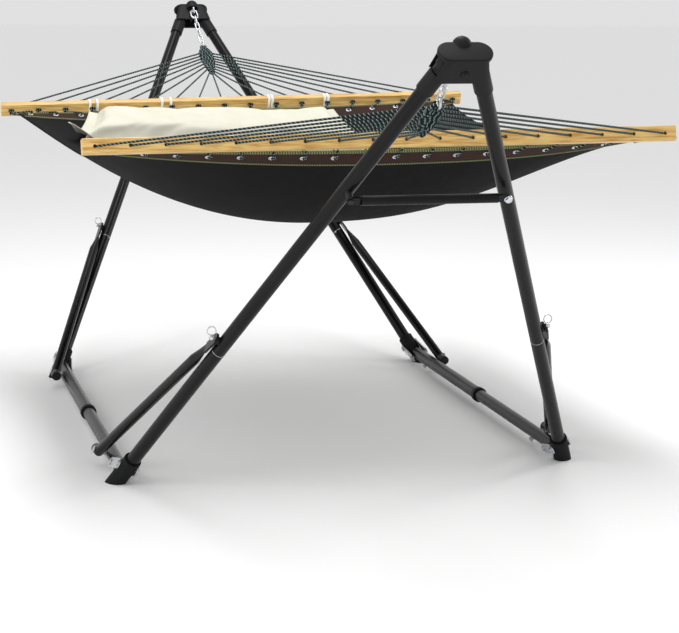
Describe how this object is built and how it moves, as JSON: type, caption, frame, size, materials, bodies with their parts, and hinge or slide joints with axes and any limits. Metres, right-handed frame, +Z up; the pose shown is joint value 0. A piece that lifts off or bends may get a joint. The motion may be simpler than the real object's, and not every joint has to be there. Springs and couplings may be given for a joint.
{
  "type": "hammock on stand",
  "caption": "Mesh hammock with wooden spreader bars and a pillow, hung by rope fans and chains from a folding stand of black steel tube.",
  "frame": {"origin": "on the floor under the middle of the whole object's box", "axes": "+X across the bed to the right side, +Y along the bed from the near end to the far end, +Z up"},
  "size_m": [1.4453, 3.0436, 1.0713],
  "materials": {
    "black_steel": "satin",
    "black_plastic": "satin",
    "boot_rubber": "matte",
    "zinc": "satin",
    "chrome_hardware": "polished",
    "pine": "satin",
    "braided_rope": "matte",
    "clew_cord": "matte",
    "mesh_bed": "matte",
    "pillow_cover": "matte",
    "eyelet": "satin"
  },
  "bodies": {
    "left_side": {"left_near_leg_lower": "black_steel", "left_near_leg_upper": "black_steel", "left_far_leg_lower": "black_steel", "left_far_leg_upper": "black_steel", "left_leg_sleeves": "black_plastic", "left_boots": "boot_rubber", "left_foot_plates": "zinc", "left_brace_lugs": "black_steel", "left_base_outer": "black_steel", "left_base_inner": "black_steel", "left_base_collar": "black_plastic", "left_bolts": "zinc", "cross_bar_rivets": "zinc"},
    "right_side": {"right_near_leg_lower": "black_steel", "right_near_leg_upper": "black_steel", "right_far_leg_lower": "black_steel", "right_far_leg_upper": "black_steel", "right_leg_sleeves": "black_plastic", "right_boots": "boot_rubber", "right_foot_plates": "zinc", "right_brace_lugs": "black_steel", "right_base_outer": "black_steel", "right_base_inner": "black_steel", "right_base_collar": "black_plastic", "right_bolts": "zinc"},
    "crowns": {"near_crown_body": "black_plastic", "near_crown_cap": "black_plastic", "far_crown_body": "black_plastic", "far_crown_cap": "black_plastic", "crown_pins": "zinc", "hook_eyes": "zinc"},
    "hammock": {"near_spreader_bar": "pine", "far_spreader_bar": "pine", "near_ropes": "braided_rope", "far_ropes": "braided_rope", "chain_links": "chrome_hardware", "clew_rings": "chrome_hardware", "clews": "clew_cord", "lashings": "braided_rope", "bed": "mesh_bed", "grommets": "eyelet", "pillow": "pillow_cover"},
    "near_cross_bar_body": {"near_cross_bar": "black_steel", "near_cross_bolt": "chrome_hardware"},
    "far_cross_bar_body": {"far_cross_bar": "black_steel", "far_cross_bolt": "chrome_hardware"},
    "left_near_brace_body": {"left_near_brace": "black_steel", "left_near_brace_cap": "black_plastic"},
    "left_near_pin_body": {"left_near_brace_pin": "chrome_hardware"},
    "left_far_brace_body": {"left_far_brace": "black_steel", "left_far_brace_cap": "black_plastic"},
    "left_far_pin_body": {"left_far_brace_pin": "chrome_hardware"},
    "right_near_brace_body": {"right_near_brace": "black_steel", "right_near_brace_cap": "black_plastic"},
    "right_near_pin_body": {"right_near_brace_pin": "chrome_hardware"},
    "right_far_brace_body": {"right_far_brace": "black_steel", "right_far_brace_cap": "black_plastic"},
    "right_far_pin_body": {"right_far_brace_pin": "chrome_hardware"}
  },
  "joints": [
    {"name": "side_fold", "type": "hinge", "parent": "left_side", "child": "crowns", "pos_m": [-0.06576, 0, 1.01579], "axis": [0, 1, 0], "range_deg": [0, 24]},
    {"name": "right_side_fold", "type": "hinge", "parent": "crowns", "child": "right_side", "pos_m": [0.00076, 0, 1.01579], "axis": [0, 1, 0], "range_deg": [0, 24]},
    {"name": "near_cross_bar_swing", "type": "hinge", "parent": "left_side", "child": "near_cross_bar_body", "pos_m": [-0.19951, -1.28139, 0.73139], "axis": [0, 0.7623, 0.6472], "range_deg": [0, 134.5]},
    {"name": "far_cross_bar_swing", "type": "hinge", "parent": "left_side", "child": "far_cross_bar_body", "pos_m": [-0.19951, 1.28139, 0.73139], "axis": [0, 0.7623, -0.6472], "range_deg": [0, 134.5]},
    {"name": "hammock_swing", "type": "hinge", "parent": "crowns", "child": "hammock", "pos_m": [-0.0325, 0, 1.037], "axis": [0, 1, 0], "range_deg": [-18, 18]},
    {"name": "left_near_brace_swing", "type": "hinge", "parent": "left_side", "child": "left_near_brace_body", "pos_m": [-0.6034, -0.47, 0.04058], "axis": [-0.8905, 0, 0.455], "range_deg": [0, 92]},
    {"name": "left_near_pin_slide", "type": "slide", "parent": "left_near_brace_body", "child": "left_near_pin_body", "axis": [-0.8905, 0, 0.455], "range_m": [0, 0.03]},
    {"name": "left_far_brace_swing", "type": "hinge", "parent": "left_side", "child": "left_far_brace_body", "pos_m": [-0.6034, 0.47, 0.04058], "axis": [0.8905, 0, -0.455], "range_deg": [0, 92]},
    {"name": "left_far_pin_slide", "type": "slide", "parent": "left_far_brace_body", "child": "left_far_pin_body", "axis": [-0.8905, 0, 0.455], "range_m": [0, 0.03]},
    {"name": "right_near_brace_swing", "type": "hinge", "parent": "right_side", "child": "right_near_brace_body", "pos_m": [0.5384, -0.47, 0.04058], "axis": [-0.8905, 0, -0.455], "range_deg": [0, 92]},
    {"name": "right_near_pin_slide", "type": "slide", "parent": "right_near_brace_body", "child": "right_near_pin_body", "axis": [0.8905, 0, 0.455], "range_m": [0, 0.03]},
    {"name": "right_far_brace_swing", "type": "hinge", "parent": "right_side", "child": "right_far_brace_body", "pos_m": [0.5384, 0.47, 0.04058], "axis": [0.8905, 0, 0.455], "range_deg": [0, 92]},
    {"name": "right_far_pin_slide", "type": "slide", "parent": "right_far_brace_body", "child": "right_far_pin_body", "axis": [0.8905, 0, 0.455], "range_m": [0, 0.03]}
  ],
  "couplings": [
    {"joint": "right_side_fold", "follows": "side_fold", "ratio": 1},
    {"joint": "near_cross_bar_swing", "follows": "side_fold", "ratio": 5.6},
    {"joint": "far_cross_bar_swing", "follows": "side_fold", "ratio": 5.6}
  ]
}
